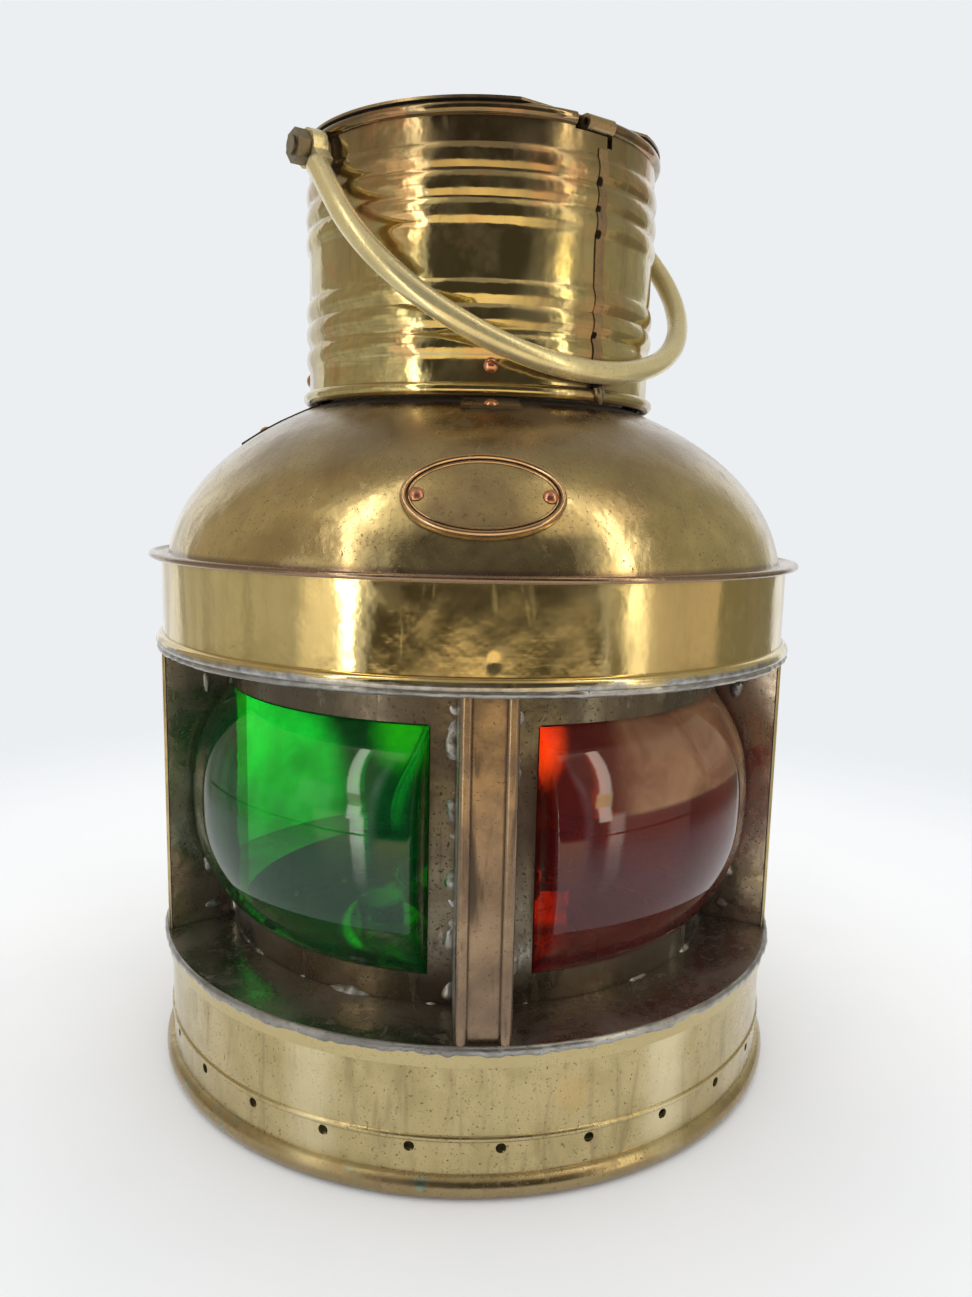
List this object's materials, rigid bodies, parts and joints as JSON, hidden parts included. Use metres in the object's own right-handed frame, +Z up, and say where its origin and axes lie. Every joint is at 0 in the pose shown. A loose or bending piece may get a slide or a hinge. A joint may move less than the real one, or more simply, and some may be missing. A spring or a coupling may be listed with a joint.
{
  "type": "ship lantern",
  "caption": "Brass oil-burning bow lantern with a green and a red bulged window, domed top, ribbed chimney with hinged lid, rear door and swinging bail.",
  "frame": {"origin": "centre of the foot, on the surface that the lantern stands on", "axes": "+Z up along the chimney's axis, -Y towards the pillar between the two windows, +X towards the red window"},
  "size_m": [0.203, 0.203, 0.2877],
  "materials": {
    "brass": "polished, tarnished in patches",
    "brown_brass": "dark brown patina",
    "bail_brass": "satin",
    "bolt_brass": "dull, tarnished",
    "solder": "uneven satin",
    "copper": "satin",
    "steel_wire": "drawn",
    "lamp_brass": "satin",
    "green_glass": "polished",
    "red_glass": "polished",
    "clear_glass": "polished",
    "wick_cotton": "woven"
  },
  "bodies": {
    "lantern": {"back_wall": "brass", "bail_bolts": "bolt_brass", "bail_nuts": "bolt_brass", "bail_spacers": "bail_brass", "band": "brass", "band_solder": "solder", "base_drum": "brass", "bottom_plate": "brass", "burner": "lamp_brass", "burner_collar": "lamp_brass", "centre_pillar": "brown_brass", "centre_screen": "brown_brass", "chimney": "brass", "chimney_end_straps": "brass", "chimney_rivets": "copper", "chimney_side_straps": "brass", "dome": "brass", "door_catch": "brass", "door_hinge_leaf": "brass", "door_hinge_pin": "brass", "filler_cap": "lamp_brass", "flame_spreader": "lamp_brass", "font_seat_ring": "brass", "foot_wire": "steel_wire", "inner_neck": "brass", "lamp_glass": "clear_glass", "lens_clips_left": "brown_brass", "lens_clips_right": "brown_brass", "lens_green": "green_glass", "lens_red": "red_glass", "name_plate": "brass", "oil_font": "lamp_brass", "plate_rivets": "copper", "rim_wire": "steel_wire", "side_plate_left": "brown_brass", "side_plate_right": "brown_brass", "sill_ring": "brown_brass", "sill_solder": "solder", "soffit_ring": "brown_brass", "strap_rivets": "copper", "wick_tube": "lamp_brass", "window_frame_left": "brown_brass", "window_frame_right": "brown_brass"},
    "bail": {"bail": "bail_brass"},
    "lid": {"lid": "brass"},
    "door": {"door": "brass", "door_knob": "brass"},
    "wick": {"wick": "wick_cotton"},
    "wick_spindle": {"wick_spindle": "lamp_brass"}
  },
  "joints": [
    {"name": "bail_swing", "type": "hinge", "parent": "lantern", "child": "bail", "pos_m": [0, 0, 0.2716], "axis": [-0.8499, -0.527, 0], "range_deg": [0, 273]},
    {"name": "lid_hinge", "type": "hinge", "parent": "lantern", "child": "lid", "pos_m": [0.02764, -0.04457, 0.27645], "axis": [0.8499, 0.527, 0], "range_deg": [0, 100]},
    {"name": "door_hinge", "type": "hinge", "parent": "lantern", "child": "door", "pos_m": [0.05121, 0.08659, 0.086], "axis": [0, 0, -1], "range_deg": [0, 110]},
    {"name": "wick_spindle_turn", "type": "hinge", "parent": "lantern", "child": "wick_spindle", "pos_m": [0.03, 0.006, 0.0416], "axis": [1, 0, 0], "range_deg": [0, 360]},
    {"name": "wick_rise", "type": "slide", "parent": "lantern", "child": "wick", "axis": [0, 0, 1], "range_m": [0, 0.006]}
  ],
  "couplings": [
    {"joint": "wick_rise", "follows": "wick_spindle_turn", "m_per_rad": 0.000954}
  ]
}
